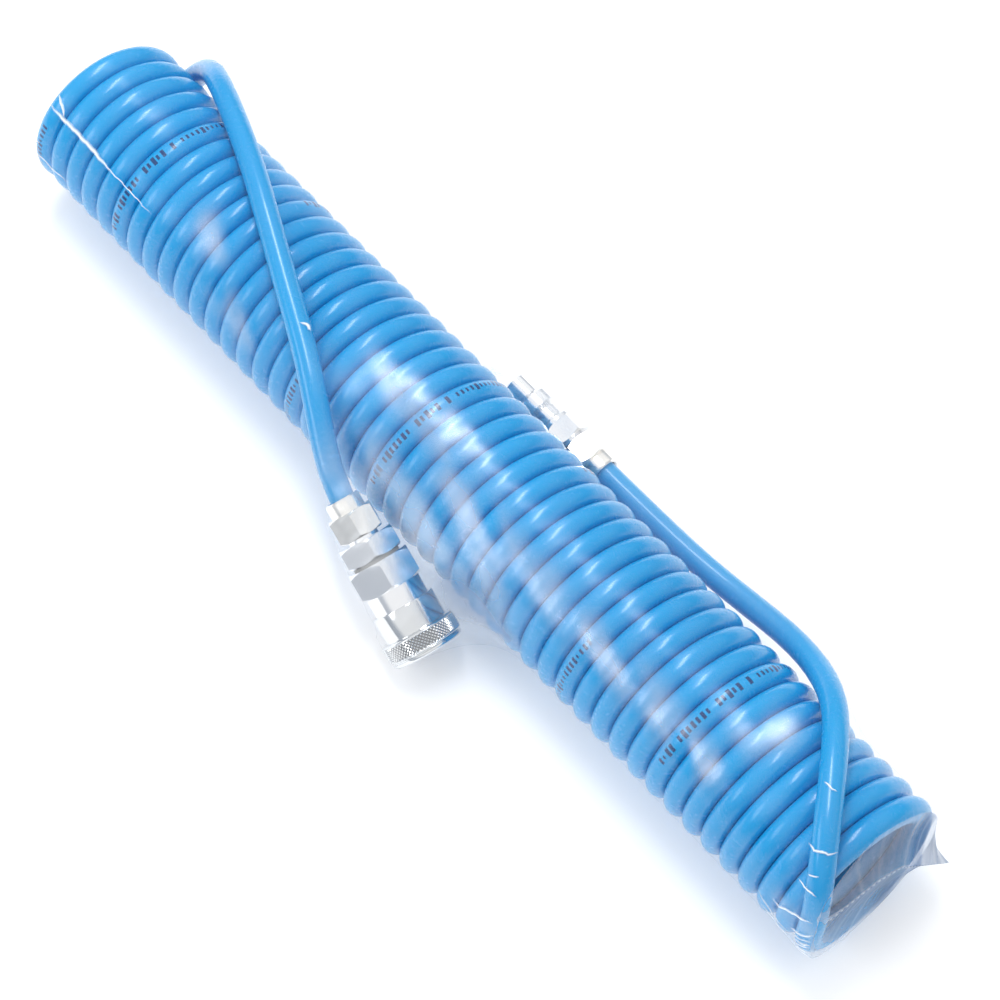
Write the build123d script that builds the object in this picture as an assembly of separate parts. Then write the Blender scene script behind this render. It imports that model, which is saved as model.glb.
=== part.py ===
"""Coiled polyurethane air hose with a quick coupler at each end.

Frame: X runs along the coil, +Z is up from the floor the coil lies on. The origin is on the floor, below the
centre of the whole part's box. Each end's pieces are drawn upright along a local axis w, which starts where the
hose enters its nut and runs towards the open end, and are then set in place. Millimetres.
"""

import math
import os

from build123d import *

# hose
HOSE_OD = 8.0
HOSE_ID = 5.0
COIL_R = 24.0  # coil axis to the hose's centre line
COIL_X0, COIL_X1 = -182.0, 172.0  # the close-wound length; the tails start in its end turns
AXIS_Z = COIL_R + HOSE_OD / 2  # the coil lies on the floor
SHIFT_X, SHIFT_Y = 4.955, 5.366  # moves the coil's own frame to the part's origin

# where the couplers lie, in the coil's own frame
SOCKET_AT = (-17.9, -37.2, 35.7)
SOCKET_TO = (28.7, -42.8, 10.7)  # the socket's axis points from SOCKET_AT to here, down to the floor
PLUG_X, PLUG_ANGLE, PLUG_R = 22.4, 104.0, 37.2  # beside the coil, pointing to -X
SOCKET_HEX_TURN = 13.0
PLUG_HEX_TURN = 12.0

# hose nuts, alike at both ends
NUT_AF = 14.0
NUT_NOSE_R = 5.7
NUT_NOSE_L = 4.6
NUT_L = 13.0
NUT_HOSE_BORE_R = HOSE_OD / 2 + 0.3
HOSE_STOP = 7.3  # the hose's end inside the nut
THREAD_R = 5.0  # screw threads are drawn plain, at their outer size
THREAD_FIT = 0.05
BARB_R = HOSE_ID / 2 - 0.05
BARB_START = 1.6
BARB_BORE_R = 1.75

# socket
NIPPLE_AF = 18.0
NIPPLE_HEX = (14.0, 20.9)
NIPPLE_STUB_R = 6.5
NIPPLE_END = 26.9
NIPPLE_MOUTH_R = 2.5
GASKET_L = 1.0
BODY_AF = 20.0
BODY_HEX_END = 31.3
BARREL_R = 9.1
BARREL_END = 38.5
FRONT_R = 7.7
MOUTH = 53.4
CHAMBER_R = 5.5
SEAT = 36.5  # the valve closes against this face
NECK_R = 4.2
BORE_R = 6.05
BORE_END = 41.4
BALL_RACE = (45.4, 49.4)  # the bore is a little wider where the balls stand in it
BALL_RACE_R = 6.25
PACKING_GROOVE = (37.5, 39.5)
PACKING_R, PACKING_WIRE = 4.85, 0.95
BALL_W = 47.5
BALL_R = 1.5
BALL_IN = 6.65  # ball centre from the socket's axis when locked
BALL_COUNT = 6
BALL_FIT = 0.1
RING_W = (51.45, 52.25)
RING_R = (7.35, 9.4)
RING_GAP = 2.4

# locking sleeve
SLEEVE_W = (37.4, 53.9)
SLEEVE_R = 10.4
KNURL_W = (46.2, 52.2)
KNURL_R = 12.2
RIM_R = 11.8
SLEEVE_TRAVEL = 4.0
BALL_TRAVEL = 0.95
SLEEVE_FIT = 0.05
LAND_W = 45.0
LAND_R = BALL_IN + BALL_R + BALL_FIT
RECESS_W = 51.4
RECESS_R = 9.6
SLEEVE_SPRING_R = (FRONT_R + BARREL_R) / 2 + 0.03
SLEEVE_SPRING_WIRE, SLEEVE_SPRING_TURNS = 0.7, 2.25

# check valve
VALVE_R = 4.8
VALVE_W = (34.0, 36.4)
VALVE_STEM_R, VALVE_STEM_W = 2.0, 31.6
VALVE_SEAL_R, VALVE_SEAL_WIRE = 3.6, 0.7
VALVE_SPRING_R, VALVE_SPRING_WIRE, VALVE_SPRING_TURNS = 3.4, 0.6, 4

# plug
PLUG_HEX_AF = 14.0
PLUG_HEX = (14.2, 21.6)
PLUG_L = 43.5
PLUG_COLLAR_R = 5.95
PLUG_GROOVE_R = 4.5
PLUG_TIP_R = 4.0
PLUG_BORE_R = 2.2
PLUG_FLANGE_END = 23.2
PLUG_GROOVE = (24.4, 28.3)
PLUG_COLLAR = (29.6, 34.0)
PLUG_CONE_END = 35.8


def on_coil(x, angle, radius):
    """A point beside the coil, its angle measured from the top towards +Y."""
    a = math.radians(angle)
    return (x, radius * math.sin(a), AXIS_Z + radius * math.cos(a))


def unit(a, b):
    d = [q - p for p, q in zip(a, b)]
    n = math.sqrt(sum(v * v for v in d))
    return tuple(v / n for v in d)


def along(p, d, s):
    return tuple(v + s * u for v, u in zip(p, d))


SOCKET_DIR = unit(SOCKET_AT, SOCKET_TO)
PLUG_AT = on_coil(PLUG_X, PLUG_ANGLE, PLUG_R)
PLUG_DIR = (-1.0, 0.0, 0.0)

# the tails' corners, from the coil's end to the hose's end inside the nut
SOCKET_ROUTE = [
    on_coil(-186.0, 180, 24.0),
    on_coil(-186.3, 160, 24.2),
    on_coil(-185.3, 127, 28.8),
    on_coil(-179.8, 101, 33.0),
    on_coil(-171.2, 79, 34.4),
    on_coil(-158.4, 57.7, 33.8),
    on_coil(-139.1, 38.2, 33.0),
    on_coil(-117.5, 19.5, 32.8),
    on_coil(-97.0, 1.5, 32.8),
    on_coil(-76.0, -16.5, 32.8),
    on_coil(-56.5, -33.5, 33.2),
    on_coil(-40.5, -51, 34.9),
    along(SOCKET_AT, SOCKET_DIR, -6.0),
    along(SOCKET_AT, SOCKET_DIR, HOSE_STOP),
]
PLUG_ROUTE = [
    on_coil(176.0, -90, 24.0),
    on_coil(176.5, -62.5, 27.0),
    on_coil(173.1, -40, 31.2),
    on_coil(166.5, -22, 33.8),
    on_coil(158.3, -5.2, 34.4),
    on_coil(147.8, 16, 34.0),
    on_coil(136.9, 39.5, 33.2),
    on_coil(124.0, 62.3, 33.5),
    on_coil(107.0, 82, 35.5),
    on_coil(86.0, 96.4, 36.9),
    on_coil(66.0, 102.7, PLUG_R),
    on_coil(40.0, PLUG_ANGLE, PLUG_R),
    along(PLUG_AT, PLUG_DIR, HOSE_STOP),
]


def fillet_radii(points):
    """A radius for each corner: tangent arcs that use up to 0.45 of the shorter run beside it."""
    radii = []
    for a, b, c in zip(points, points[1:], points[2:]):
        before, after = Vector(*b) - Vector(*a), Vector(*c) - Vector(*b)
        half = math.radians(before.get_angle(after)) / 2
        radii.append(0.45 * min(before.length, after.length) / math.tan(half))
    return radii


def hose_tube(name, points):
    """The hose along a route of straight runs and tangent arcs."""
    radii = fillet_radii(points)
    path = FilletPolyline(*points, radius=radii)
    section = Plane(origin=path @ 0, z_dir=path % 0)
    tube = sweep(section * Circle(HOSE_OD / 2), path=path) - sweep(section * Circle(HOSE_ID / 2), path=path)
    drawn = math.pi / 4 * (HOSE_OD**2 - HOSE_ID**2) * path.length
    print(name, "length", round(path.length, 1), "radii", [round(r) for r in radii], "volume share",
          round(tube.volume / drawn, 4))  # fmt: skip
    return tube


def turned(*profile):
    """A solid of revolution about the local axis, from (radius, w) corners."""
    return revolve(make_face(Plane.XZ * Polyline(*profile, close=True)), Axis.Z)


def hexagon(across_flats, w0, w1, turn, chamfer=0.72):
    """A hexagonal length whose corners are turned off at both ends, with a corner at the given angle."""
    corner = across_flats / math.sqrt(3)
    prism = Pos(0, 0, w0) * extrude(Rot(0, 0, turn) * RegularPolygon(corner, 6), w1 - w0)
    face = across_flats / 2 - 0.1
    rise = (corner - face) * chamfer
    blank = turned(
        (0, w0), (face, w0), (corner + 0.01, w0 + rise), (corner + 0.01, w1 - rise), (face, w1), (0, w1)
    )
    return prism & blank


def spring(radius, wire, turns, w0, w1):
    """A compression spring between two faces."""
    gap = 0.05
    length = w1 - w0 - wire - 2 * gap
    path = Pos(0, 0, w0 + wire / 2 + gap) * Helix(pitch=length / turns, height=length, radius=radius)
    return sweep(Plane(origin=path @ 0, z_dir=path % 0) * Circle(wire / 2), path=path, is_frenet=True)


def o_ring(radius, wire, w):
    return Pos(0, 0, w) * Torus(radius, wire)


def hose_nut(turn):
    """The nut that clamps the hose on its barb."""
    nut = hexagon(NUT_AF, NUT_NOSE_L, NUT_L, turn)
    nose = turned((0, 0), (NUT_NOSE_R - 0.5, 0), (NUT_NOSE_R, 0.5), (NUT_NOSE_R, NUT_NOSE_L), (0, NUT_NOSE_L))
    bore = turned(
        (0, -1), (NUT_HOSE_BORE_R + 0.7, -1), (NUT_HOSE_BORE_R + 0.5, 0), (NUT_HOSE_BORE_R, 0.6),
        (NUT_HOSE_BORE_R, HOSE_STOP - 0.9), (THREAD_R + THREAD_FIT, HOSE_STOP - 0.1),
        (THREAD_R + THREAD_FIT, NUT_L + 1), (0, NUT_L + 1),
    )  # fmt: skip
    return nut + nose - bore


def barbed_stub(w_hex):
    """The hose barb and the nut's thread, up to a hexagon at w_hex."""
    face = HOSE_STOP + 0.1
    return turned(
        (0, BARB_START), (BARB_R - 0.5, BARB_START), (BARB_R, BARB_START + 1.4), (BARB_R, face),
        (THREAD_R - 0.4, face), (THREAD_R, face + 0.4), (THREAD_R, w_hex), (0, w_hex),
    )  # fmt: skip


def socket_nipple():
    w0, w1 = NIPPLE_HEX
    solid = barbed_stub(w0) + hexagon(NIPPLE_AF, w0, w1, SOCKET_HEX_TURN - 2)
    solid += turned(
        (0, w1), (NIPPLE_STUB_R, w1), (NIPPLE_STUB_R, NIPPLE_END - 0.4), (NIPPLE_STUB_R - 0.4, NIPPLE_END),
        (0, NIPPLE_END),
    )  # fmt: skip
    return solid - turned(
        (0, 0), (BARB_BORE_R, 0), (BARB_BORE_R, w1), (NIPPLE_MOUTH_R, w1 + 1), (NIPPLE_MOUTH_R, 30), (0, 30)
    )


def body_gasket():
    w0 = NIPPLE_HEX[1]
    return Pos(0, 0, w0) * (
        extrude(Circle(NIPPLE_AF / 2 - 1.2) - Circle(NIPPLE_STUB_R), GASKET_L)
    )


def ball_angles():
    return [360 / BALL_COUNT * n for n in range(BALL_COUNT)]


def ball_pocket():
    """A tapered hole through the barrel: wide enough for a ball, but closed enough inside to hold it."""
    profile = Polyline((0, BORE_R - 1), (1.42, BORE_R - 1), (1.42, BORE_R), (BALL_R + BALL_FIT, BORE_R + 0.5),
                       (BALL_R + BALL_FIT, FRONT_R + 1), (0, FRONT_R + 1), close=True)  # fmt: skip
    pocket = revolve(make_face(Plane.XZ * profile), Axis.Z)
    return Pos(0, 0, BALL_W) * (Rot(0, 90, 0) * pocket)


def socket_body():
    w0 = NIPPLE_HEX[1] + GASKET_L
    outside = hexagon(BODY_AF, w0, BODY_HEX_END, SOCKET_HEX_TURN) + turned(
        (0, w0 + 2), (BARREL_R, w0 + 2), (BARREL_R, BARREL_END), (FRONT_R, BARREL_END),
        (FRONT_R, MOUTH - 0.5), (FRONT_R - 0.5, MOUTH), (0, MOUTH),
    )  # fmt: skip
    groove = Pos(0, 0, RING_W[0] - 0.05) * extrude(
        Circle(FRONT_R + 1) - Circle(RING_R[0] - 0.05), RING_W[1] - RING_W[0] + 0.1
    )
    hollow = turned(
        (0, w0 - 1), (NIPPLE_STUB_R, w0 - 1), (NIPPLE_STUB_R, NIPPLE_END + 0.1), (CHAMBER_R, NIPPLE_END + 0.1),
        (CHAMBER_R, SEAT), (NECK_R, SEAT), (NECK_R, PACKING_GROOVE[0]), (NECK_R + 1.6, PACKING_GROOVE[0]),
        (NECK_R + 1.6, PACKING_GROOVE[1]), (NECK_R, PACKING_GROOVE[1]), (NECK_R, BORE_END - 1.8),
        (BORE_R, BORE_END), (BORE_R, BALL_RACE[0]), (BALL_RACE_R, BALL_RACE[0]), (BALL_RACE_R, BALL_RACE[1]),
        (BORE_R, BALL_RACE[1]), (BORE_R, MOUTH - 0.5), (BORE_R + 0.5, MOUTH), (BORE_R + 0.5, MOUTH + 1),
        (0, MOUTH + 1),
    )  # fmt: skip
    solid = outside - hollow - groove
    for angle in ball_angles():
        solid -= Rot(0, 0, angle) * ball_pocket()
    return solid


def locking_ball(angle):
    return Rot(0, 0, angle) * (Pos(BALL_IN, 0, BALL_W) * Sphere(BALL_R))


def retaining_ring():
    w0, w1 = RING_W
    ring = extrude(Circle(RING_R[1]) - Circle(RING_R[0]), w1 - w0)
    ring -= Pos(RING_R[1], 0, 0) * Box(2 * (RING_R[1] - RING_R[0]) + 2, RING_GAP, 4)
    return Pos(0, 0, w0) * (Rot(0, 0, 40) * ring)


def locking_sleeve():
    w0, w1 = SLEEVE_W
    bore_r = BARREL_R + SLEEVE_FIT
    ramp = BALL_TRAVEL / SLEEVE_TRAVEL
    ramp_end_r = LAND_R + ramp * (RECESS_W - BALL_W)
    return turned(
        (bore_r, w0), (SLEEVE_R - 0.4, w0), (SLEEVE_R, w0 + 0.4), (SLEEVE_R, KNURL_W[0] - 0.3),
        (KNURL_R - 0.5, KNURL_W[0]), (KNURL_R, KNURL_W[0] + 0.5), (KNURL_R, KNURL_W[1] - 0.4),
        (RIM_R, KNURL_W[1]), (RIM_R, w1 - 0.6), (RIM_R - 0.6, w1), (RECESS_R + 0.4, w1), (RECESS_R, w1 - 0.4),
        (RECESS_R, RECESS_W), (ramp_end_r, RECESS_W), (LAND_R, BALL_W), (LAND_R, LAND_W), (bore_r, LAND_W),
    )  # fmt: skip


def check_valve():
    """The poppet. Slots across its face let air pass when a plug's tip pushes it back."""
    w0, w1 = VALVE_W
    solid = turned(
        (0, VALVE_STEM_W), (VALVE_STEM_R - 0.4, VALVE_STEM_W), (VALVE_STEM_R, VALVE_STEM_W + 0.4),
        (VALVE_STEM_R, w0), (VALVE_R, w0), (VALVE_R, w1 - 0.3), (VALVE_R - 0.3, w1), (0, w1),
    )  # fmt: skip
    solid -= Pos(0, 0, w1) * extrude(
        Circle(VALVE_SEAL_R + VALVE_SEAL_WIRE) - Circle(VALVE_SEAL_R - VALVE_SEAL_WIRE), -1.35
    )
    return solid - Pos(0, 0, w1) * Box(5.2, 1.2, 1.6)


def plug_body():
    w0, w1 = PLUG_HEX
    groove_0, groove_1 = PLUG_GROOVE
    collar_0, collar_1 = PLUG_COLLAR
    solid = barbed_stub(w0) + hexagon(PLUG_HEX_AF, w0, w1, PLUG_HEX_TURN)
    solid += turned(
        (0, w1), (PLUG_COLLAR_R, w1), (PLUG_COLLAR_R, PLUG_FLANGE_END), (PLUG_GROOVE_R, groove_0),
        (PLUG_GROOVE_R, groove_1), (PLUG_COLLAR_R, collar_0), (PLUG_COLLAR_R, collar_1),
        (PLUG_TIP_R, PLUG_CONE_END), (PLUG_TIP_R, PLUG_L - 0.8), (PLUG_TIP_R - 0.8, PLUG_L), (0, PLUG_L),
    )  # fmt: skip
    return solid - turned(
        (0, 0), (BARB_BORE_R, 0), (BARB_BORE_R, w1), (PLUG_BORE_R, w1 + 1), (PLUG_BORE_R, PLUG_L + 1), (0, PLUG_L + 1)
    )


def hose_coil():
    """The close-wound turns, as one tube of the coil's outside and inside diameters."""
    ring = Circle(COIL_R + HOSE_OD / 2) - Circle(COIL_R - HOSE_OD / 2)
    return extrude(Plane(origin=(COIL_X0, 0, AXIS_Z), x_dir=(0, 1, 0), z_dir=(1, 0, 0)) * ring, COIL_X1 - COIL_X0)


def in_frame(origin, direction):
    """Sets a piece drawn along w on an axis in the coil's frame, with its local X as near +Z as it goes."""
    up = Vector(0, 0, 1) - Vector(*direction) * direction[2]
    return Plane(origin=origin, x_dir=up, z_dir=direction).location


def main():
    socket, plug = in_frame(SOCKET_AT, SOCKET_DIR), in_frame(PLUG_AT, PLUG_DIR)
    nodes = {
        "hose_coil": hose_coil(),
        "socket_tail": hose_tube("socket_tail", SOCKET_ROUTE),
        "plug_tail": hose_tube("plug_tail", PLUG_ROUTE),
        "socket_hose_nut": socket * hose_nut(SOCKET_HEX_TURN + 3),
        "socket_nipple": socket * socket_nipple(),
        "body_gasket": socket * body_gasket(),
        "socket_body": socket * socket_body(),
        "locking_sleeve": socket * locking_sleeve(),
        "sleeve_spring": socket * spring(
            SLEEVE_SPRING_R, SLEEVE_SPRING_WIRE, SLEEVE_SPRING_TURNS, BARREL_END, LAND_W
        ),
        "retaining_ring": socket * retaining_ring(),
        "check_valve": socket * check_valve(),
        "valve_seal": socket * o_ring(VALVE_SEAL_R, VALVE_SEAL_WIRE - 0.05, VALVE_W[1] - 0.65),
        "valve_spring": socket * spring(
            VALVE_SPRING_R, VALVE_SPRING_WIRE, VALVE_SPRING_TURNS, NIPPLE_END, VALVE_W[0]
        ),
        "plug_packing": socket * o_ring(PACKING_R, PACKING_WIRE, sum(PACKING_GROOVE) / 2),
        "plug_hose_nut": plug * hose_nut(PLUG_HEX_TURN + 8),
        "plug_body": plug * plug_body(),
    }
    for n, angle in enumerate(ball_angles(), 1):
        nodes[f"locking_ball_{n}"] = socket * locking_ball(angle)
    os.makedirs("parts", exist_ok=True)
    for name, shape in nodes.items():
        export_step(Pos(SHIFT_X, SHIFT_Y, 0) * shape, f"parts/{name}.step")


if __name__ == "__main__":
    main()
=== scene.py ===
"""The coiled air hose as it looks: the hose itself, its couplers' finishes and the clear film
round the bundle."""

import math

import bpy
import numpy as np
from mathutils import Matrix, Vector
from mathutils.bvhtree import BVHTree


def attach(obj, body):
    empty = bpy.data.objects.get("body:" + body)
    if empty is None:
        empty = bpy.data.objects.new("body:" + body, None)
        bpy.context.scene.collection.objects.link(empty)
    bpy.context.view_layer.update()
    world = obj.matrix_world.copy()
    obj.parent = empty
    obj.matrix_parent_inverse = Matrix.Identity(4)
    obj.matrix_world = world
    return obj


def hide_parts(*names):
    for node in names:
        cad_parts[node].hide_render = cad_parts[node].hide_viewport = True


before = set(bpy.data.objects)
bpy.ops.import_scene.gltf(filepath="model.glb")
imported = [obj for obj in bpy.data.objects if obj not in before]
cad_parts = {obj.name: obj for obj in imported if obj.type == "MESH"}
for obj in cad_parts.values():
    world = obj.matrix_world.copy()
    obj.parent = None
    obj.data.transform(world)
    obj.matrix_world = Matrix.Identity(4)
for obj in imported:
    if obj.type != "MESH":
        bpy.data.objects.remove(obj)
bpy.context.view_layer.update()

# ---------------------------------------------------------------- sizes, in metres
HOSE_R = 0.004
COIL_R = 0.024  # coil axis to the hose's centre line
AXIS_Z = COIL_R + HOSE_R
PITCH = 2 * HOSE_R  # the turns touch
ORIGIN = Vector((0.004955, 0.005366, 0))  # the coil's own frame in the part's
HELIX_X = -0.186  # the coil's first point, under the axis
FIRST_TURN, LAST_TURN = -180.0, 16110.0  # degrees from the top towards +Y
TURN_POINTS = 20
HOSE_SIDES = 28

SOCKET_AT = Vector((-0.0179, -0.0372, 0.0357))
SOCKET_DIR = (Vector((0.0287, -0.0428, 0.0107)) - SOCKET_AT).normalized()
PLUG_DIR = Vector((-1, 0, 0))
HOSE_STOP = 0.0073  # the hose's end inside its nut


def on_coil(x, angle, radius):
    """A point beside the coil, in millimetres and degrees from the top towards +Y."""
    a = math.radians(angle)
    return Vector((x, radius * math.sin(a), radius * math.cos(a))) / 1000 + Vector((0, 0, AXIS_Z))


PLUG_AT = on_coil(22.4, 104, 37.2)

SOCKET_ROUTE = [
    on_coil(-186.3, 160, 24.2),
    on_coil(-185.3, 127, 28.8),
    on_coil(-179.8, 101, 33.0),
    on_coil(-171.2, 79, 34.4),
    on_coil(-158.4, 57.7, 33.8),
    on_coil(-139.1, 38.2, 33.0),
    on_coil(-117.5, 19.5, 32.8),
    on_coil(-97.0, 1.5, 32.8),
    on_coil(-76.0, -16.5, 32.8),
    on_coil(-56.5, -33.5, 33.2),
    on_coil(-40.5, -51, 34.9),
    SOCKET_AT - 0.006 * SOCKET_DIR,
    SOCKET_AT + HOSE_STOP * SOCKET_DIR,
]
PLUG_ROUTE = [
    on_coil(176.5, -62.5, 27.0),
    on_coil(173.1, -40, 31.2),
    on_coil(166.5, -22, 33.8),
    on_coil(158.3, -5.2, 34.4),
    on_coil(147.8, 16, 34.0),
    on_coil(136.9, 39.5, 33.2),
    on_coil(124.0, 62.3, 33.5),
    on_coil(107.0, 82, 35.5),
    on_coil(86.0, 96.4, 36.9),
    on_coil(66.0, 102.7, 37.2),
    on_coil(40.0, 104, 37.2),
    PLUG_AT + HOSE_STOP * PLUG_DIR,
]


def coil_turns():
    """The coil's own points: round and round, one hose width on for each turn."""
    step = 360 / TURN_POINTS
    radius = COIL_R * 1000 / math.cos(math.pi / TURN_POINTS)  # the spline runs inside its points
    count = round((LAST_TURN - FIRST_TURN) / step)
    for n in range(count + 1):
        angle = FIRST_TURN + n * step
        x = (HELIX_X + PITCH * (angle - FIRST_TURN) / 360) * 1000
        yield on_coil(x, angle, radius)


# ---------------------------------------------------------------- mesh helpers
def add_mesh(name, vertices, faces):
    mesh = bpy.data.meshes.new(name)
    mesh.from_pydata([tuple(v) for v in vertices], [], faces)
    mesh.validate()
    mesh.polygons.foreach_set("use_smooth", [True] * len(mesh.polygons))
    made = bpy.data.objects.new(name, mesh)
    bpy.context.scene.collection.objects.link(made)
    return made


def spline_line(points):
    """The smooth line that follows a route's points."""
    curve = bpy.data.curves.new("hose_line", "CURVE")
    curve.dimensions = "3D"
    curve.resolution_u = 3
    spline = curve.splines.new("NURBS")
    spline.points.add(len(points) - 1)
    for point, where in zip(spline.points, points):
        point.co = (*where, 1)
    spline.order_u = 3
    spline.use_endpoint_u = True
    made = bpy.data.objects.new("hose_line", curve)
    bpy.context.scene.collection.objects.link(made)
    mesh = bpy.data.meshes.new_from_object(made)
    line = np.array([v.co[:] for v in mesh.vertices])
    bpy.data.objects.remove(made)
    bpy.data.meshes.remove(mesh)
    return line


def rings_mesh(name, rings, closed=True):
    """A mesh from rings of points, in rows of equal length."""
    rows, sides = rings.shape[:2]
    across = sides if closed else sides - 1
    a = np.arange(rows - 1)[:, None] * sides + np.arange(across)
    b = np.arange(rows - 1)[:, None] * sides + (np.arange(across) + 1) % sides
    faces = np.stack([a, b, b + sides, a + sides], axis=-1).reshape(-1, 4)
    return add_mesh(name, rings.reshape(-1, 3), faces.tolist())


def tube(name, line, radius, sides):
    """A tube along a line beside the coil.

    Its map runs along it in metres, and round it from the side that faces the coil's axis.
    """
    ahead = np.gradient(line, axis=0)
    ahead /= np.linalg.norm(ahead, axis=1)[:, None]
    inward = np.array([0, ORIGIN.y, AXIS_Z]) - line
    inward[:, 0] = 0
    inward -= ahead * np.sum(ahead * inward, axis=1)[:, None]
    inward /= np.linalg.norm(inward, axis=1)[:, None]
    side = np.cross(ahead, inward)
    turn = 2 * math.pi * np.arange(sides) / sides
    rings = line[:, None] + radius * (
        np.cos(turn)[None, :, None] * inward[:, None] + np.sin(turn)[None, :, None] * side[:, None]
    )
    made = rings_mesh(name, rings)
    run = np.concatenate([[0], np.cumsum(np.linalg.norm(np.diff(line, axis=0), axis=1))])
    low, high = np.repeat(run[:-1], sides), np.repeat(run[1:], sides)
    around = np.tile(np.arange(sides) / sides, len(line) - 1)
    next_around = around + 1 / sides
    corners = np.stack([low, around, low, next_around, high, next_around, high, around], axis=-1)
    along_map = made.data.uv_layers.new(name="along")
    along_map.data.foreach_set("uv", corners.astype(np.float32).ravel())
    return made, run


def across_frame(direction):
    """Two directions square to an axis."""
    up = Vector((0, 0, 1))
    first = (up - direction * up.dot(direction)).normalized()
    return first, direction.cross(first)


# ---------------------------------------------------------------- camera, floor and light
CAMERA_AT = (0.355575, -0.289684, 0.87157)
CAMERA_BACK = Vector((0.35463, -0.31036, 0.88199)).normalized()
CAMERA_LENS, CAMERA_SENSOR = 111.5, 36
WORLD_STRENGTH = 0.98
WORLD_TONES = [(0, (0.42, 0.45, 0.50, 1)), (0.24, (0.50, 0.54, 0.60, 1)), (0.44, (1, 1, 1, 1))]
FLOOR_HALF, FLOOR_DROP = 3, 0.0004


def camera():
    data = bpy.data.cameras.new("camera")
    data.sensor_width = CAMERA_SENSOR
    data.lens = CAMERA_LENS
    data.clip_end = 20
    made = bpy.data.objects.new("camera", data)
    bpy.context.scene.collection.objects.link(made)
    made.location = CAMERA_AT
    made.rotation_mode = "QUATERNION"
    made.rotation_quaternion = (-CAMERA_BACK).to_track_quat("-Z", "Y")
    bpy.context.scene.camera = made


def softbox(name, place, target, width, height, power):
    data = bpy.data.lights.new(name, "AREA")
    data.shape = "RECTANGLE"
    data.size, data.size_y = width, height
    data.energy = power
    made = bpy.data.objects.new(name, data)
    made.location = place
    made.rotation_mode = "QUATERNION"
    made.rotation_quaternion = (Vector(target) - Vector(place)).to_track_quat("-Z", "Y")
    bpy.context.scene.collection.objects.link(made)


def studio():
    """A plain pale floor under a soft sky and two softboxes."""
    world = bpy.data.worlds.new("studio")
    world.use_nodes = True
    tree = world.node_tree
    background = tree.nodes["Background"]
    background.inputs["Strength"].default_value = WORLD_STRENGTH
    direction = node(tree, "ShaderNodeTexCoord").outputs["Generated"]
    height = node(tree, "ShaderNodeSeparateXYZ", {0: direction})
    sky = node(tree, "ShaderNodeValToRGB", {0: height.outputs["Z"]})
    stops = sky.color_ramp.elements
    for position, tone in WORLD_TONES:
        stop = stops[0] if position == 0 else stops.new(position)
        stop.color = tone
    tree.links.new(sky.outputs[0], background.inputs["Color"])
    bpy.context.scene.world = world
    softbox("overhead_softbox", (-0.30, 0.16, 0.95), (0, 0, 0), 0.16, 0.8, 4.4)
    softbox("front_softbox", (-0.42, -0.92, 0.62), (0.03, 0, 0.03), 0.75, 0.35, 2.2)
    half = FLOOR_HALF
    corners = [(-half, -half, 0), (half, -half, 0), (half, half, 0), (-half, half, 0)]
    floor = add_mesh("floor", corners, [(0, 1, 2, 3)])
    floor.location.z = -FLOOR_DROP
    floor.data.materials.append(paper_floor())
    bpy.context.scene.view_settings.view_transform = "Standard"


# ---------------------------------------------------------------- shader groups and materials
def new_group(name, inputs, outputs):
    group = bpy.data.node_groups.new(name, "ShaderNodeTree")
    for label, kind, value in inputs:
        socket = group.interface.new_socket(label, in_out="INPUT", socket_type=kind)
        socket.default_value = value
    for label, kind in outputs:
        group.interface.new_socket(label, in_out="OUTPUT", socket_type=kind)
    start = group.nodes.new("NodeGroupInput")
    end = group.nodes.new("NodeGroupOutput")
    return group, start, end


def node(tree, kind, links=(), **settings):
    """A new node. links maps its inputs to the sockets that feed them."""
    made = tree.nodes.new(kind)
    for key, value in settings.items():
        setattr(made, key, value)
    for target, source in dict(links).items():
        tree.links.new(source, made.inputs[target])
    return made


def feed(tree, socket, value):
    """Sets a socket, or links it when the value is another node's socket."""
    if isinstance(value, bpy.types.NodeSocket):
        tree.links.new(value, socket)
    else:
        socket.default_value = value


def maths(tree, operation, a, b=0.0, clamp=False):
    made = node(tree, "ShaderNodeMath", operation=operation, use_clamp=clamp)
    for socket, value in zip(made.inputs, (a, b)):
        feed(tree, socket, value)
    return made.outputs[0]


def blended(tree, factor, a, b):
    """Colour a where factor is 0 and b where it is 1."""
    made = node(tree, "ShaderNodeMix", data_type="RGBA")
    for socket, value in ((made.inputs[0], factor), (made.inputs[6], a), (made.inputs[7], b)):
        feed(tree, socket, value)
    return made.outputs[2]


def fine_mottle():
    """Slow colour drift and fine surface grain, from the object's own coordinates."""
    group, start, end = new_group(
        "fine_mottle",
        [("Drift Scale", "NodeSocketFloat", 20.0), ("Grain Scale", "NodeSocketFloat", 900.0)],
        [("Drift", "NodeSocketFloat"), ("Grain", "NodeSocketFloat")],
    )
    place = node(group, "ShaderNodeTexCoord").outputs["Object"]
    drift = node(group, "ShaderNodeTexNoise", {"Vector": place, "Scale": start.outputs["Drift Scale"]})
    drift.inputs["Detail"].default_value = 2
    grain = node(group, "ShaderNodeTexNoise", {"Vector": place, "Scale": start.outputs["Grain Scale"]})
    grain.inputs["Detail"].default_value = 4
    group.links.new(drift.outputs[0], end.inputs["Drift"])
    group.links.new(grain.outputs[0], end.inputs["Grain"])
    return group


MOTTLE = fine_mottle()


def shell_material(name, **values):
    """A material with one Principled BSDF, its plain values set by input name."""
    material = bpy.data.materials.new(name)
    material.use_nodes = True
    shader = material.node_tree.nodes["Principled BSDF"]
    for key, value in values.items():
        shader.inputs[key.replace("_", " ")].default_value = value
    return material, material.node_tree, shader


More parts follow.
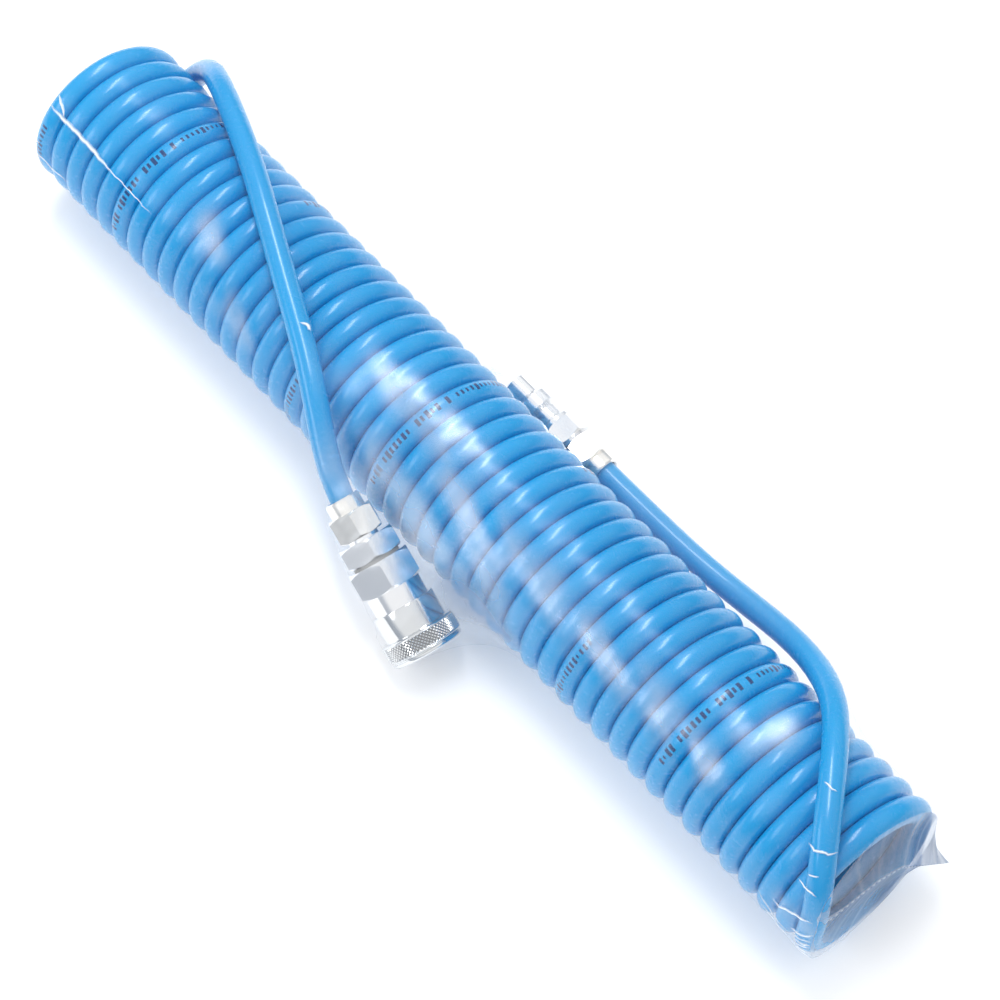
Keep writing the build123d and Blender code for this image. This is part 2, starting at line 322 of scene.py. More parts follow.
def mottled(tree, drift, grain):
    """The mottle's drift and grain in one material, at the given scales."""
    made = node(tree, "ShaderNodeGroup", node_tree=MOTTLE)
    made.inputs["Drift Scale"].default_value = drift
    made.inputs["Grain Scale"].default_value = grain
    return made.outputs["Drift"], made.outputs["Grain"]


def bumped(tree, shader, height, strength, distance):
    """Fine relief on a shader's surface."""
    bump = node(tree, "ShaderNodeBump", {"Height": height})
    bump.inputs["Strength"].default_value = strength
    bump.inputs["Distance"].default_value = distance
    tree.links.new(bump.outputs["Normal"], shader.inputs["Normal"])


def paper_floor():
    material, tree, shader = shell_material("paper_floor", Roughness=0.9, Emission_Strength=0.22)
    drift = mottled(tree, 2.0, 300.0)[0]
    tone = blended(tree, drift, (0.86, 0.86, 0.865, 1), (0.9, 0.9, 0.9, 1))
    tree.links.new(tone, shader.inputs["Base Color"])
    return material


TICK_CELL = 0.0017  # from one tick to the next
TICK_SKIP = 0.12  # the share of ticks left out
TICK_LENGTH = (0.3, 0.4)  # the least share of the cell, and how much chance adds
TICK_HEIGHT = (0.018, 0.045)  # half of it, in shares of the way round the hose


def printed_ticks():
    """Dark ticks of uneven length in stretches along the hose's outer side. They stand for no letters."""
    group, start, end = new_group(
        "printed_ticks",
        [
            ("Every", "NodeSocketFloat", 0.8),
            ("From", "NodeSocketFloat", 0.0),
            ("Stretch", "NodeSocketFloat", 0.06),
        ],
        [("Ink", "NodeSocketFloat")],
    )
    along = node(group, "ShaderNodeUVMap", uv_map="along").outputs[0]
    where = node(group, "ShaderNodeSeparateXYZ", {0: along})
    run = maths(group, "SUBTRACT", where.outputs["X"], start.outputs["From"])
    lap = maths(group, "FLOORED_MODULO", run, start.outputs["Every"])
    cell = maths(group, "DIVIDE", lap, TICK_CELL)
    index = maths(group, "FLOOR", cell)
    noise = node(group, "ShaderNodeTexWhiteNoise", {"W": index}, noise_dimensions="1D")
    chance = noise.outputs["Value"]
    within = maths(group, "FRACT", cell)
    length = maths(group, "ADD", maths(group, "MULTIPLY", chance, TICK_LENGTH[1]), TICK_LENGTH[0])
    wide = maths(group, "LESS_THAN", within, length)
    off_line = maths(group, "ABSOLUTE", maths(group, "SUBTRACT", where.outputs["Y"], 0.5))
    tall = maths(group, "ADD", maths(group, "MULTIPLY", chance, TICK_HEIGHT[1]), TICK_HEIGHT[0])
    high = maths(group, "LESS_THAN", off_line, tall)
    near = maths(group, "LESS_THAN", lap, start.outputs["Stretch"])
    kept = maths(group, "GREATER_THAN", chance, TICK_SKIP)
    tick = maths(group, "MULTIPLY", wide, high)
    ink = maths(group, "MULTIPLY", tick, maths(group, "MULTIPLY", near, kept))
    group.links.new(ink, end.inputs["Ink"])
    return group


def polyurethane():
    """Glossy blue hose with its print."""
    material, tree, shader = shell_material(
        "polyurethane", IOR=1.42, Coat_Weight=0.28, Coat_Roughness=0.12, Subsurface_Weight=0.1
    )
    shader.inputs["Subsurface Radius"].default_value = (0.2, 0.5, 1.0)
    shader.inputs["Subsurface Scale"].default_value = 0.0015
    drift, grain = mottled(tree, 14.0, 700.0)
    tone = blended(tree, drift, (0.001, 0.255, 0.58, 1), (0.004, 0.335, 0.70, 1))
    ticks = node(tree, "ShaderNodeGroup", node_tree=printed_ticks())
    ticks.inputs["Every"].default_value = PRINT_EVERY
    ticks.inputs["From"].default_value = PRINT_FROM
    ticks.inputs["Stretch"].default_value = PRINT_STRETCH
    ink = maths(tree, "MULTIPLY", ticks.outputs["Ink"], 0.88)
    inked = blended(tree, ink, tone, (0.004, 0.012, 0.10, 1))
    tree.links.new(inked, shader.inputs["Base Color"])
    rough = maths(tree, "ADD", maths(tree, "MULTIPLY", grain, 0.12), 0.2)
    tree.links.new(rough, shader.inputs["Roughness"])
    bumped(tree, shader, grain, 0.06, 0.0002)
    return material


def plated(name, tone, rough, scratch=0.1):
    """Bright plated metal with faint drift in tone and fine polishing scratches, with painted shade deep in a
    groove.
    """
    material, tree, shader = shell_material(name, Metallic=1.0)
    drift, grain = mottled(tree, 60.0, 1600.0)
    dull = tuple(0.93 * c for c in tone)
    groove = node(tree, "ShaderNodeAttribute", attribute_name="groove").outputs["Fac"]
    # painted shade: the base colour turns near black deep in a knurl's groove
    painted_groove_shade = maths(tree, "POWER", groove, 4.0, clamp=True)
    face = blended(tree, drift, (*dull, 1), (*tone, 1))
    tree.links.new(blended(tree, painted_groove_shade, face, (0.02, 0.022, 0.03, 1)), shader.inputs["Base Color"])
    spread = maths(tree, "ADD", maths(tree, "MULTIPLY", grain, scratch), rough)
    tree.links.new(spread, shader.inputs["Roughness"])
    bumped(tree, shader, grain, 0.08, 0.00008)
    return material


def seal(name, tone):
    """Matt rubber or packing."""
    material, tree, shader = shell_material(name, Roughness=0.55)
    drift, grain = mottled(tree, 90.0, 2200.0)
    dull = tuple(0.6 * c for c in tone)
    tree.links.new(blended(tree, drift, (*dull, 1), (*tone, 1)), shader.inputs["Base Color"])
    bumped(tree, shader, grain, 0.15, 0.0001)
    return material


def shrink_film():
    """Clear film that shows what lies behind it, milky with painted reflections and white where it folds.

    Clear, it is a thin mirror. Milky, painted with a reflection or folded, it is a plain pale surface; its
    shade mark tints it with painted dark blue reflection and shade.
    """
    material, tree, shader = shell_material("shrink_film")
    fold = node(tree, "ShaderNodeAttribute", attribute_name="fold").outputs["Fac"]
    cloud_and_painted_reflection = node(tree, "ShaderNodeAttribute", attribute_name="cloud_and_painted_reflection").outputs["Fac"]
    shade = node(tree, "ShaderNodeAttribute", attribute_name="shade").outputs["Fac"]
    drift, grain = mottled(tree, 45.0, 400.0)
    facing = node(tree, "ShaderNodeLayerWeight").outputs["Facing"]
    grazing = maths(tree, "MULTIPLY", maths(tree, "POWER", facing, 4.0), 0.16)
    # painted reflection: the cloud mark, mostly a painted softbox reflection with a little milk, makes the
    # film pale and less clear
    milky_and_painted_reflection = maths(tree, "MULTIPLY", cloud_and_painted_reflection, maths(tree, "ADD", maths(tree, "MULTIPLY", drift, 0.5), 0.2))
    haze_and_painted_reflection = maths(tree, "ADD", milky_and_painted_reflection, maths(tree, "MULTIPLY", fold, 0.8), clamp=True)
    seen = maths(tree, "ADD", maths(tree, "ADD", grazing, 0.012), haze_and_painted_reflection, clamp=True)
    tree.links.new(seen, shader.inputs["Alpha"])
    mirror = maths(tree, "SUBTRACT", 1.0, maths(tree, "MULTIPLY", haze_and_painted_reflection, 1.6), clamp=True)
    tree.links.new(mirror, shader.inputs["Metallic"])
    # the pale tone of milk and painted reflection; the dark blue is the hose's painted reflection and shade
    bright = blended(tree, drift, (0.86, 0.92, 0.98, 1), (0.97, 0.99, 1.0, 1))
    tree.links.new(blended(tree, shade, bright, (0.07, 0.17, 0.36, 1)), shader.inputs["Base Color"])
    rough = maths(tree, "ADD", maths(tree, "MULTIPLY", grain, 0.16), 0.22)
    tree.links.new(rough, shader.inputs["Roughness"])
    bumped(tree, shader, drift, 0.1, 0.0005)
    return material


# ---------------------------------------------------------------- the hose
PRINT_EVERY, PRINT_FROM, PRINT_STRETCH = 0.8065, 0.23, 0.062  # metres along the hose


def hose():
    """One length of hose: the socket's tail, the turns and the plug's tail."""
    points = [p + ORIGIN for p in [*reversed(SOCKET_ROUTE), *coil_turns(), *PLUG_ROUTE]]
    line = spline_line(points)
    made, run = tube("air_hose", line, HOSE_R, HOSE_SIDES)
    made.data.materials.append(polyurethane())
    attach(made, "hose_assembly")
    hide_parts("hose_coil", "socket_tail", "plug_tail")
    print("hose length", round(float(run[-1]), 3), "rings", len(line))
    return made


# ---------------------------------------------------------------- the couplers
SLEEVE_TRAVEL = 0.004
KNURL_FROM, KNURL_TO = 46.7, 51.8
KNURL_R, KNURL_DEPTH = 12.2, 0.5
KNURL_TEETH = 60
KNURL_FADE = 0.4  # the knurl runs out over this length at each end
TOOTH_POINTS = 8
SHARP_DEGREES = 32
# the sleeve's outline as (radius, distance from the socket's back) in mm: its back and shank, then its front
# edge and its inside, back to the start
SLEEVE_SHANK = [
    (9.15, 37.4), (10.0, 37.4), (10.28, 37.5), (10.4, 37.8),
    (10.4, 45.75), (10.5, 45.9), (11.6, 46.1), (12.1, 46.5),
]
SLEEVE_FRONT = [
    (11.95, 52.1), (11.55, 52.3), (11.55, 52.55), (11.8, 52.7), (11.8, 53.3), (11.6, 53.65), (11.2, 53.9),
    (10.0, 53.9), (9.6, 53.5), (9.6, 51.4), (9.176, 51.4), (8.25, 47.5), (8.25, 45.0), (9.15, 45.0),
]


def knurled_sleeve():
    """The locking sleeve with its diamond knurl cut in."""
    count = KNURL_TEETH * TOOTH_POINTS
    pitch = 2 * math.pi * KNURL_R / KNURL_TEETH
    steps = round((KNURL_TO - KNURL_FROM) / (pitch / TOOTH_POINTS))
    knurl = [(KNURL_R, KNURL_FROM + (KNURL_TO - KNURL_FROM) * n / steps) for n in range(steps + 1)]
    rows = [*SLEEVE_SHANK, *knurl, *SLEEVE_FRONT, SLEEVE_SHANK[0]]
    turn = np.arange(count) / TOOTH_POINTS
    first, second = (np.array(v) for v in across_frame(SOCKET_DIR))
    angle = 2 * math.pi * np.arange(count) / count
    round_axis = np.cos(angle)[:, None] * first + np.sin(angle)[:, None] * second
    origin = np.array(SOCKET_AT + ORIGIN)
    rings, grooves = [], []
    for r, w in rows:
        radius = np.full(count, r)
        if r == KNURL_R:
            lead = (w - KNURL_FROM) / pitch
            one = np.abs((turn + lead) % 1 - 0.5)
            other = np.abs((turn - lead) % 1 - 0.5)
            fade = min(1, (w - KNURL_FROM) / KNURL_FADE, (KNURL_TO - w) / KNURL_FADE)
            radius -= 2 * KNURL_DEPTH * fade * np.maximum(one, other)
        rings.append(origin + w / 1000 * np.array(SOCKET_DIR) + radius[:, None] / 1000 * round_axis)
        grooves.append((r - radius) / KNURL_DEPTH)
    made = rings_mesh("knurled_sleeve", np.array(rings))
    mark(made, "groove", np.ravel(grooves))
    made.data.set_sharp_from_angle(angle=math.radians(SHARP_DEGREES))
    made.data.materials.append(FINISHES["sleeve_chrome"])
    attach(made, "sleeve")
    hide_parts("locking_sleeve")
    return made


def mark(piece, name, values):
    """One number for each of a mesh's points, for its material to read."""
    attribute = piece.data.attributes.new(name, "FLOAT", "POINT")
    attribute.data.foreach_set("value", np.ascontiguousarray(values, np.float32))


def finish_couplers():
    """Gives each of the couplers' own pieces its finish."""
    looks = {
        "nut_nickel": ["socket_hose_nut", "plug_hose_nut"],
        "body_nickel": ["socket_nipple", "socket_body", "plug_body", "retaining_ring"],
        "spring_wire": ["sleeve_spring", "valve_spring"],
        "valve_brass": ["check_valve"],
        "seal_rubber": ["valve_seal", "plug_packing"],
        "pale_gasket": ["body_gasket"],
        "ball_steel": [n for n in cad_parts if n.startswith("locking_ball_")],
    }
    for look, names in looks.items():
        for name in names:
            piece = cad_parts[name]
            piece.data.materials.clear()
            piece.data.materials.append(FINISHES[look])


# ---------------------------------------------------------------- the film
FILM_X0, FILM_X1 = -0.1903, 0.1803
FILM_STEP = 0.001
FILM_RIPPLE = 0.0001
FLOOR_SAG = 0.0003  # how far the film may hang below the hose
EMPTY_REACH = 0.02  # the film's least distance from the axis where a ray meets nothing
START_SLACK = 0.004  # how far off the turns the film is before it shrinks
NUT_STEPS = (12, 24, 36, 48)  # degrees; a hexagon comes round again at 60
END_ROWS = 14  # rows of the film that slant with the coil's end turn
FAR_EDGE = ([-180, 60, 110, 180], [-190.2, -185.0, -190.0, -190.3])  # degrees and x in mm
NEAR_EDGE = ([-180, -100, -62, -35, 0, 90, 180], [178.3, 180.3, 180.3, 177, 174.4, 176.3, 178.3])
FILM_DIRECTIONS = 192
FILM_GAP = 0.00028  # film to what it lies on
HOOP_PULL = 0.6  # the share of the film's pull that runs round the bundle
FILM_ROUNDS = 700
FILM_R_MM = 28.3  # the film from the axis where it lies on the turns
DEGREE_MM = 0.494  # a degree round the film there
RIPPLE_COUNT = 14
END_SHEET_ROWS = 26
EAR_SHARE = 0.34  # the part of the seam that the loose ear takes
# the painted shade of the coil's dark inside, a band across the end's film
DARK_AT, DARK_WIDTH = 0.27, 0.06  # the dark band in the end's film, in shares of the seam
BEAD_SPACING, BEAD_RADIUS = 0.0011, 0.00018
BEAD_SIDES = 6
NEAR_SEAM = [
    (184, 28, 10.5), (182.5, 15, 27), (181.5, 6, 38.5), (181, -3, 42.5), (181, -12, 44.5), (181, -25.5, 46.5),
]
FAR_SEAM = [(-190.6, 27, 27), (-189.6, 12, 28.5), (-189, -2, 28), (-188.8, -14, 29), (-189.2, -27, 28.5)]


def reach_grid(pieces, stations, angles):
    """How far the pieces reach from the coil's axis, at each station and in each direction.

    Each piece comes with its moves, and counts at all of them.
    """
    depsgraph = bpy.context.evaluated_depsgraph_get()
    vertices, faces = [], []
    for piece, moves in pieces:
        mesh = piece.evaluated_get(depsgraph).data
        for move in (Matrix(), *moves):
            base = len(vertices)
            vertices += [move @ v.co for v in mesh.vertices]
            faces += [[base + n for n in f.vertices] for f in mesh.polygons]
    solid = BVHTree.FromPolygons(vertices, faces)
    far = 0.09
    reach = np.zeros((len(stations), len(angles)))
    for j, angle in enumerate(angles):
        out = Vector((0, math.sin(angle), math.cos(angle)))
        for i, x in enumerate(stations):
            hit = solid.ray_cast(Vector((x, ORIGIN.y, AXIS_Z)) + out * far, -out, far)
            if hit[0] is not None:
                reach[i, j] = far - hit[3]
    return reach


def nut_turns(centre, axis):
    """A nut's other places as it turns, for the film to clear."""
    there, back = Matrix.Translation(centre), Matrix.Translation(-centre)
    return [there @ Matrix.Rotation(math.radians(a), 4, axis) @ back for a in NUT_STEPS]


def stretched(reach):
    """The film's distance from the axis once it is shrunk on to what lies inside."""
    step = 2 * math.pi / FILM_DIRECTIONS
    lift = np.where(reach > 0, reach + FILM_GAP, EMPTY_REACH)
    radius = np.maximum(lift, COIL_R + HOSE_R + FILM_GAP + START_SLACK)
    for _ in range(FILM_ROUNDS):
        left, right = np.roll(radius, 1, axis=1), np.roll(radius, -1, axis=1)
        hoop = 2 * left * right * math.cos(step) / (left + right)
        padded = np.pad(radius, ((1, 1), (0, 0)), mode="edge")
        length = (padded[:-2] + padded[2:]) / 2
        radius = np.maximum(HOOP_PULL * hoop + (1 - HOOP_PULL) * length, lift)
    return radius


def ridge(stations, angles, path, width):
    """1 along a line given by (x in mm, degrees) corners, fading to 0 over its width in mm."""
    x = (stations[:, None] - ORIGIN.x) * 1000 + 0 * angles[None]
    arc = np.degrees((angles[None] + math.pi) % (2 * math.pi) - math.pi) + 0 * x
    to_mm = math.radians(1) * FILM_R_MM
    best = np.full(x.shape, 1e9)
    for (x0, a0), (x1, a1) in zip(path, path[1:]):
        dx, da = x1 - x0, (a1 - a0) * to_mm
        px, pa = x - x0, (arc - a0) * to_mm
        t = np.clip((px * dx + pa * da) / (dx * dx + da * da), 0, 1)
        best = np.minimum(best, np.hypot(px - t * dx, pa - t * da))
    return np.exp(-((best / width) ** 2))


FOLDS = [
    # (x in mm, degrees) along each fold in the film, its width and its lift in mm
    ([(-186, -43), (-179, -44), (-174, -43.6), (-162, -44.2), (-152, -46.4)], 0.95, 0.45),
    ([(-163, -44), (-152, -46), (-144, -46), (-131, -47)], 0.25, 0.2),
    ([(-185, -34), (-181, -38), (-178, -43)], 0.6, 0.3),
    ([(-187, -85), (-177, -86), (-168, -83)], 0.4, 0.3),
    ([(-187, -76), (-183, -72)], 0.35, 0.3),
    ([(-167, 63), (-165, 65), (-161, 66)], 0.4, 0.2),
    ([(-62, -25), (-60, -23), (-58, -24)], 0.5, 0.2),
    ([(163, -27), (166, -27), (170, -24), (171, -20)], 0.4, 0.2),
    ([(167, -45), (171, -44), (175, -43)], 0.4, 0.2),
    ([(169, -38), (171, -36), (172, -34)], 0.3, 0.2),
    ([(154, -3), (157, -3), (159, -2)], 0.3, 0.2),
    ([(163, -75), (166, -75), (170, -69), (175, -62), (178, -59)], 0.6, 0.5),
    ([(172, -83), (177, -76), (180, -67)], 0.45, 0.4),
    ([(173, -87), (177, -82), (180, -75)], 0.3, 0.35),
    ([(174, -90), (178, -86), (180, -80)], 0.5, 0.4),
    ([(175, -95), (180, -85)], 0.4, 0.35),
    ([(175, -101), (180, -92)], 0.5, 0.4),
    ([(174, -106), (180, -99)], 0.35, 0.35),
    ([(158, -80), (165, -89), (172, -93)], 0.3, 0.3),
    ([(160, -92), (168, -97), (176, -108)], 0.35, 0.3),
    ([(60, 150), (72, 146), (90, 151), (104, 147)], 0.4, 0.3),
    ([(-120, 120), (-104, 126), (-92, 124)], 0.4, 0.3),
    ([(150, 118), (166, 124), (175, 121)], 0.4, 0.4),
    ([(-186, 140), (-172, 133), (-160, 136)], 0.4, 0.4),
]
CLOUDS_AND_PAINTED_REFLECTIONS = [
    # (x in mm, degrees) along each milky stretch, its width in mm and its strength; the stretches at negative
    # degrees, on the camera's side, are painted reflections of the front softbox, the rest plain milky haze
    ([(-30, -14), (-12, -11), (2, -13)], 7, 0.6),
    ([(-22, -56), (8, -58), (46, -62)], 9, 0.6),
    ([(8, -30), (20, -36), (38, -38), (58, -35)], 8, 0.6),
    ([(58, -36), (78, -39), (99, -37), (124, -41)], 6.5, 0.62),
    ([(-112, -24), (-104, -30)], 6, 0.5),
    ([(-90, -55), (-80, -58)], 6, 0.45),
    ([(128, -12), (134, 4)], 6, 0.5),
    ([(167, -72), (176, -66)], 4.5, 0.4),
    ([(-60, 100), (-20, 96), (10, 84)], 8, 0.5),
    ([(90, 128), (140, 120)], 8, 0.6),
    ([(-150, 150), (-110, 142)], 8, 0.5),
]
PAINTED_HOSE_REFLECTIONS = [
    # (x in mm, degrees) along each stretch of painted reflection, where the film is painted with the hose's
    # dark blue, its width in mm and its strength
    ([(26, -73), (37, -78), (48, -85)], 5, 0.75),
]


def fold_ribbons(stations, radius):
    """Thin raised folds on the film, as rings of points with their marks, one strip for each fold."""
    strips = []
    for path, width, lift in FOLDS:
        knots = np.array(path, float)
        run = np.concatenate([[0], np.cumsum(np.hypot(*(np.diff(knots, axis=0) * (1, DEGREE_MM)).T))])
        at = np.linspace(0, run[-1], max(6, int(run[-1] / 0.7)))
        x, degrees = np.interp(at, run, knots[:, 0]), np.interp(at, run, knots[:, 1])
        wander = np.sin(at * 1.3) * 0.12 + np.sin(at * 3.1 + 1) * 0.05
        along_x, along_a = np.gradient(x), np.gradient(degrees) * DEGREE_MM
        size = np.hypot(along_x, along_a)
        taper = np.sqrt(np.clip(np.minimum(at, run[-1] - at) / (0.25 * run[-1]), 0.02, 1))
        strip, marks = [], []
        for across in (-1, -0.4, 0, 0.4, 1):
            shift = across * width * taper + wander
            px = x - along_a / size * shift
            pa = degrees + along_x / size * shift / DEGREE_MM
            i = np.clip((px / 1000 + ORIGIN.x - stations[0]) / FILM_STEP, 0, len(stations) - 1)
            j = (np.radians(pa) % (2 * math.pi)) / (2 * math.pi) * FILM_DIRECTIONS
            r = between(radius, i, j) + 0.00006 + lift / 1000 * taper * (1 - across * across)
            a = np.radians(pa)
            y, z = ORIGIN.y + r * np.sin(a), AXIS_Z + r * np.cos(a)
            strip.append(np.stack([px / 1000 + ORIGIN.x, y, z], axis=-1))
            marks.append((1 - abs(across)) * taper)
        strips.append((np.stack(strip, axis=1), np.stack(marks, axis=1)))
    return strips


def between(grid, i, j):
    """The grid's value between its points."""
    i0, j0 = np.minimum(i.astype(int), len(grid) - 2), np.floor(j).astype(int)
    fi, fj = i - i0, j - j0
    j0, j1 = j0 % grid.shape[1], (j0 + 1) % grid.shape[1]
    low = grid[i0, j0] * (1 - fj) + grid[i0, j1] * fj
    high = grid[i0 + 1, j0] * (1 - fj) + grid[i0 + 1, j1] * fj
    return low * (1 - fi) + high * fi


def ripples(stations, angles, seed):
    """Slow, low waves in the film where it is pulled along the bundle."""
    draw = np.random.default_rng(seed)
    x = stations[:, None] * 1000
    total = np.zeros((len(stations), len(angles)))
    for _ in range(RIPPLE_COUNT):
        length, turns = draw.uniform(14, 60), draw.integers(3, 15)
        total += draw.uniform(0.3, 1) * np.sin(
            2 * math.pi * x / length + turns * angles[None] + draw.uniform(0, 2 * math.pi)
        )
    return total / 4


def end_sheet(ring, seam, near, far, bow, milk_and_painted_reflection, seed):
    """The film from its last ring to the weld across the end, as rings of points with their marks.

    near and far are the directions, in degrees, where the ring meets the seam's first and last point.
    """
    count = len(ring)
    angle = np.degrees(2 * math.pi * np.arange(count) / count)
    up = (angle - far) % 360
    span = (near - far) % 360
    share = np.where(up <= span, 1 - up / span, (up - span) / (360 - span))
    knots = np.linspace(0, 1, len(seam))
    target = np.stack([np.interp(share, knots, [p[k] for p in seam]) for k in range(3)], axis=-1)
    draw = np.random.default_rng(seed)
    folds = sum(
        draw.uniform(0.4, 1) * np.sin(n * np.radians(angle) + draw.uniform(0, 6.28)) for n in (17, 29, 41, 53)
    ) / 2.5
    ear = np.clip(1 - share / EAR_SHARE, 0, 1)
    dark = np.exp(-(((share - DARK_AT) / DARK_WIDTH) ** 2))
    rings, marks = [], []
    for t in np.linspace(0, 1, END_SHEET_ROWS)[1:]:
        sheet = (1 - t) * ring + t * target
        sheet[:, 0] += bow * math.sin(math.pi * t) * (1 - ear)
        sheet[:, 0] += (0.0004 + 0.0006 * ear) * folds * math.sin(math.pi * t) * (0.4 + 0.6 * t)
        rings.append(sheet)
        streak = np.maximum(folds, 0) ** 3
        fold = np.clip((0.02 + 0.55 * ear) * streak + 0.35 * max(0, t - 0.96) / 0.04, 0, 1)
        # painted shade and reflection: the end's film is tinted dark blue over the opening, more so in the
        # ear and the dark band, and milkier there
        cloud_and_painted_reflection = milk_and_painted_reflection * (1 + 2.4 * ear + 1.6 * dark)
        shade = np.clip(0.40 + ear * (0.25 + 0.45 * folds) + dark - streak, 0, 1) + 0 * fold
        marks.append(np.stack([fold, cloud_and_painted_reflection + 0 * fold, shade], axis=-1))
    return rings, marks


def end_slants(stations, angles):
    """Where each point of the film's grid lies along the coil, and its place in the grid's rows.

    The end rows slant to follow the end turns.
    """
    degrees = np.degrees((angles + math.pi) % (2 * math.pi) - math.pi)
    x = stations[:, None] + 0 * angles[None]
    for (at, edge), end, inner in ((FAR_EDGE, 0, END_ROWS), (NEAR_EDGE, -1, -1 - END_ROWS)):
        outer = np.interp(degrees, at, edge) / 1000 + ORIGIN.x
        share = (stations - stations[inner]) / (stations[end] - stations[inner])
        rows = share > 0
        x[rows] = stations[inner] + share[rows, None] * (outer - stations[inner])[None]
    row = np.clip((x - stations[0]) / FILM_STEP, 0, len(stations) - 1)
    return x, row


def weld_beads(seam, start, stop):
    """The weld's row of beads along the seam, as six-sided spindles with their marks and tones."""
    line = np.array([tuple(p) for p in seam])
    run = np.concatenate([[0], np.cumsum(np.linalg.norm(np.diff(line, axis=0), axis=1))])
    strips = []
    for n, at in enumerate(np.arange(start * run[-1], stop * run[-1], BEAD_SPACING)):
        ends = [
            np.array([np.interp(at + d, run, line[:, k]) for k in range(3)]) for d in (0, 0.55 * BEAD_SPACING)
        ]
        ahead = (ends[1] - ends[0]) / np.linalg.norm(ends[1] - ends[0])
        first = np.cross(ahead, (1, 0, 0))
        first /= np.linalg.norm(first)
        second = np.cross(ahead, first)
        turn = 2 * math.pi * np.arange(BEAD_SIDES + 1) / BEAD_SIDES
        spindle = []
        for share, wide in ((0, 0.05), (0.2, 0.8), (0.5, 1), (0.8, 0.8), (1, 0.05)):
            middle = ends[0] * (1 - share) + ends[1] * share
            ring = np.cos(turn)[:, None] * first + np.sin(turn)[:, None] * second
            spindle.append(middle + wide * BEAD_RADIUS * ring)
        tone = 0.9 if n % 2 else 0.15
        white = np.full((len(spindle), BEAD_SIDES + 1), 0.75)
        strips.append((np.array(spindle), white, tone))
    return strips


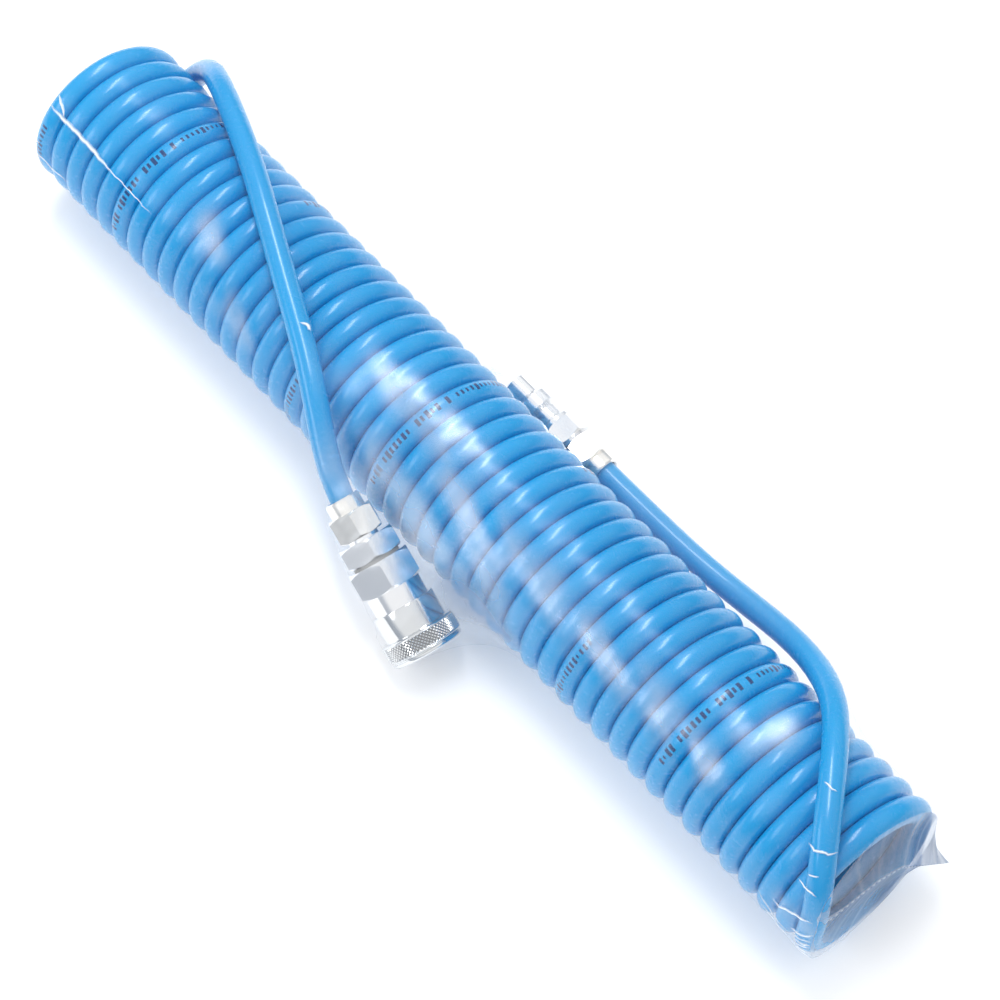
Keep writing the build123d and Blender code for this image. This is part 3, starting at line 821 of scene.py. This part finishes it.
def film(pieces):
    """The clear shrink film round the whole bundle, with a welded seam and a loose ear at the open end."""
    stations = np.arange(FILM_X0, FILM_X1, FILM_STEP) + ORIGIN.x
    angles = 2 * math.pi * np.arange(FILM_DIRECTIONS) / FILM_DIRECTIONS
    radius = stretched(reach_grid(pieces, stations, angles))
    radius += FILM_RIPPLE * (1 + ripples(stations, angles, seed=4))
    down = np.maximum(-np.cos(angles), 1e-6)
    floor_limit = np.where(np.cos(angles) < 0, (AXIS_Z + FLOOR_SAG) / down, 1)
    radius = np.minimum(radius, floor_limit[None])
    x, row = end_slants(stations, angles)
    # painted reflection: the listed stretches make the film pale and milky where a softbox's reflection
    # falls, over a faint even haze
    cloud_and_painted_reflection = np.zeros_like(radius)
    for path, width, strength in CLOUDS_AND_PAINTED_REFLECTIONS:
        cloud_and_painted_reflection = np.maximum(cloud_and_painted_reflection, strength * ridge(stations, angles, path, width))
    cloud_and_painted_reflection *= np.clip(0.75 + 0.9 * ripples(stations, angles, seed=11), 0, 1)
    cloud_and_painted_reflection += 0.03 + 0.03 * np.clip(ripples(stations, angles, seed=12), -1, 1)
    shade = 0.1 + 0 * cloud_and_painted_reflection
    # painted reflection: the hose's dark blue painted into the film's colour, and the film made less clear
    # there
    for path, width, strength in PAINTED_HOSE_REFLECTIONS:
        dark = strength * ridge(stations, angles, path, width)
        shade, cloud_and_painted_reflection = np.maximum(shade, dark), np.maximum(cloud_and_painted_reflection, 1.5 * dark)
    columns = np.arange(FILM_DIRECTIONS)[None] + 0 * row
    out = between(radius, row, columns)
    y, z = ORIGIN.y + out * np.sin(angles)[None], AXIS_Z + out * np.cos(angles)[None]
    rings = np.stack([x, y, z], axis=-1)
    cloud_and_painted_reflection, shade = between(cloud_and_painted_reflection, row, columns), between(shade, row, columns)
    marks = np.stack([0 * cloud_and_painted_reflection, cloud_and_painted_reflection, shade], axis=-1)
    near_seam = [Vector(p) / 1000 + ORIGIN for p in NEAR_SEAM]
    far_seam = [Vector(p) / 1000 + ORIGIN for p in FAR_SEAM]
    near_rings, near_marks = end_sheet(
        rings[-1], near_seam, near=112, far=-55, bow=-0.0018, milk_and_painted_reflection=0.5, seed=7
    )
    far_rings, far_marks = end_sheet(rings[0], far_seam, near=95, far=-85, bow=0.0018, milk_and_painted_reflection=0.1, seed=8)
    every = np.concatenate([np.array(far_rings[::-1]), rings, np.array(near_rings)])
    every_mark = np.concatenate([np.array(far_marks[::-1]), marks, np.array(near_marks)])
    wrap = rings_mesh("clear_film_wrap", every)
    mark_film(wrap, every_mark.reshape(-1, 3))
    folds = []
    for strip, fold in fold_ribbons(stations, radius):
        piece = rings_mesh("film_fold", strip, closed=False)
        mark_film(piece, np.stack([fold, 0.3 * fold, 0 * fold], axis=-1).reshape(-1, 3))
        folds.append(piece)
    for seam, start, stop in ((near_seam, 0.02, 0.97), (far_seam, 0.03, 0.97)):
        for spindle, fold, tone in weld_beads(seam, start, stop):
            piece = rings_mesh("weld_bead", spindle, closed=False)
            mark_film(piece, np.stack([fold, 0 * fold, 0 * fold + tone], axis=-1).reshape(-1, 3))
            folds.append(piece)
    joined(wrap, folds)
    wrap.data.materials.append(FINISHES["shrink_film"])
    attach(wrap, "hose_assembly")
    return wrap


def mark_film(piece, marks):
    """Marks each of the film's points with its fold, its milk and painted reflection, and its shade: painted
    shade and reflection, and the beads' tones.
    """
    for name, values in zip(("fold", "cloud_and_painted_reflection", "shade"), marks.T):
        mark(piece, name, values)


def joined(piece, others):
    """Adds the other pieces' meshes to the first one's."""
    with bpy.context.temp_override(active_object=piece, selected_editable_objects=[piece, *others]):
        bpy.ops.object.join()


# ---------------------------------------------------------------- all together
FINISHES = {
    "sleeve_chrome": plated("sleeve_chrome", (0.78, 0.80, 0.82), 0.08, 0.08),
    "nut_nickel": plated("nut_nickel", (0.98, 0.96, 0.92), 0.16, 0.12),
    "body_nickel": plated("body_nickel", (0.94, 0.95, 0.97), 0.12, 0.1),
    "spring_wire": plated("spring_wire", (0.45, 0.45, 0.46), 0.3),
    "ball_steel": plated("ball_steel", (0.7, 0.7, 0.72), 0.08),
    "valve_brass": plated("valve_brass", (0.78, 0.55, 0.24), 0.22),
    "seal_rubber": seal("seal_rubber", (0.03, 0.03, 0.032)),
    "pale_gasket": seal("pale_gasket", (0.50, 0.50, 0.50)),
    "shrink_film": shrink_film(),
}

camera()
studio()
finish_couplers()
air_hose = hose()
sleeve = knurled_sleeve()
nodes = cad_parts
film([
    (air_hose, []),
    (sleeve, [Matrix.Translation(-SLEEVE_TRAVEL * SOCKET_DIR)]),
    (nodes["socket_hose_nut"], nut_turns(SOCKET_AT + ORIGIN, SOCKET_DIR)),
    (nodes["plug_hose_nut"], nut_turns(PLUG_AT + ORIGIN, PLUG_DIR)),
    (nodes["socket_nipple"], []),
    (nodes["socket_body"], []),
    (nodes["plug_body"], []),
])
